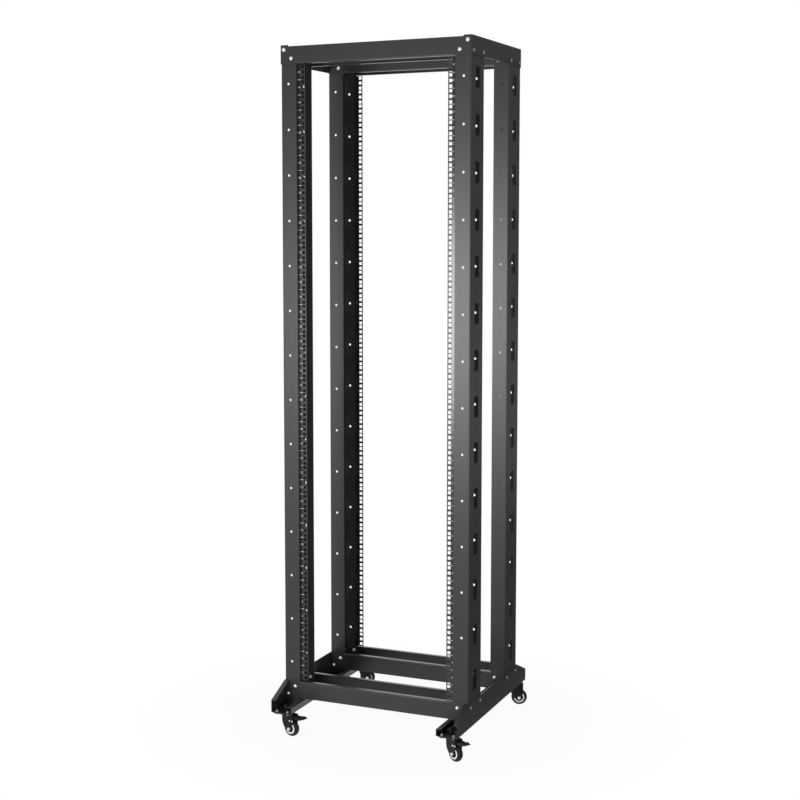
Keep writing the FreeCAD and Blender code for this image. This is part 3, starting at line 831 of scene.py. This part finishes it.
def makeFloor(looks):
    # pale and shadowed near the rack, and white farther out
    finish = Finish("floor")
    distance = finish.add("VectorMath", {"operation": "LENGTH"}, {0: finish.spot()}, out="Value")
    fade = ((distance - looks["fadeFrom"]) / looks["fadeOver"]).clamped()
    plain = finish.add("BsdfDiffuse", {}, {"Color": looks["tone"]})
    bright = finish.add("Emission", {}, {"Color": white, "Strength": 1.0})
    near = finish.add("MixShader", {}, {0: looks["glow"], 1: plain, 2: bright})
    shown = finish.add("MixShader", {}, {0: fade, 1: near, 2: bright})
    surface = finish.add("MixShader", {}, {0: finish.seen(), 1: plain, 2: shown})
    finish.add("OutputMaterial", {}, {"Surface": surface})
    return finish.owner


reach = floorLooks["reach"]
makeSheet("floor", [(-reach, -reach, 0), (reach, -reach, 0), (reach, reach, 0), (-reach, reach, 0)],
          makeFloor(floorLooks))

worldLooks = {"level": 0.45}
world = bpy.data.worlds.new("studio")
bpy.context.scene.world = world
sky = Finish("studio", world)
dim = sky.add("Background", {}, {"Color": white, "Strength": worldLooks["level"]})
bright = sky.add("Background", {}, {"Color": white, "Strength": 1.0})
mixed = sky.add("MixShader", {}, {0: sky.seen(), 1: dim, 2: bright})
sky.add("OutputWorld", {}, {"Surface": mixed})

lamps = {
    "softbox": {"at": (-0.86, -3.22, 1.09), "aim": (0.2, -0.22, 1.27), "wide": 0.9, "power": 49.0},
    "low_softbox": {"at": (2.7, -2.5, 0.7), "aim": (0.2, -0.1, 0.1), "wide": 0.8, "power": 36.0},
    "rear_glow": {"at": (1.6, 3.1, 0.6), "aim": (0.3, 0.1, 0.95), "wide": 0.9, "power": 0.7},
    "rim": {"at": (-2.1, 5.0, 1.95), "aim": (0.0, 0.0, 0.2), "wide": 1.6, "power": 10.0},
}
for name, looks in lamps.items():
    lamp = bpy.data.lights.new(name, "AREA")
    lamp.shape = "SQUARE"
    lamp.size = looks["wide"]
    lamp.energy = looks["power"]
    light = bpy.data.objects.new(name, lamp)
    bpy.context.scene.collection.objects.link(light)
    light.location = looks["at"]
    light.rotation_euler = (Vector(looks["aim"]) - Vector(looks["at"])).to_track_quat("-Z", "Y").to_euler()


def wall(start, end, top):
    return [(*start, 0), (*end, 0), (*end, top), (*start, top)]


# grey studio cards that only reflections see, so the sides of the posts stay dark
cards = {
    "card_rear_right": {"points": wall((2.2, 1.2), (0.9, 6.0), 3.6), "tone": 0.14},
    "card_front": {"points": wall((-5.0, -4.8), (5.0, -6.2), 4.2), "tone": 0.34},
    "card_left": {"points": wall((-4.5, 6.0), (-5.0, -4.8), 3.6), "tone": 0.50},
    "card_floor": {
        "points": [(0.33, -2.5, 0.002), (3.0, -2.5, 0.002), (3.0, 5.0, 0.002), (0.33, 5.0, 0.002)],
        "tone": 0.10,
    },
}
for name, looks in cards.items():
    finish = Finish(name)
    glow = finish.add("Emission", {}, {"Color": white, "Strength": looks["tone"]})
    finish.add("OutputMaterial", {}, {"Surface": glow})
    card = makeSheet(name, looks["points"], finish.owner)
    card.visible_camera = False
    card.visible_diffuse = False
    card.visible_shadow = False
    card.visible_transmission = False

view = {
    "at": (1.7820, -4.4454, 1.5638),
    "yaw": 0.4472,
    "pitch": -0.0958,
    "roll": -0.0058,
    "lens": 70.2,
    "sensor": 36.0,
    "shiftX": 0.125,
    "shiftY": -0.0382,
}
camera = bpy.data.cameras.new("camera")
camera.lens = view["lens"]
camera.sensor_width = view["sensor"]
camera.shift_x = view["shiftX"]
camera.shift_y = view["shiftY"]
eye = bpy.data.objects.new("camera", camera)
bpy.context.scene.collection.objects.link(eye)
eye.location = view["at"]
aim = Matrix.Rotation(view["yaw"], 4, "Z") @ Matrix.Rotation(math.pi / 2 + view["pitch"], 4, "X")
eye.rotation_euler = (aim @ Matrix.Rotation(view["roll"], 4, "Z")).to_euler()
bpy.context.scene.camera = eye
bpy.context.scene.view_settings.view_transform = "Standard"
print("studio ready")

low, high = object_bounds()
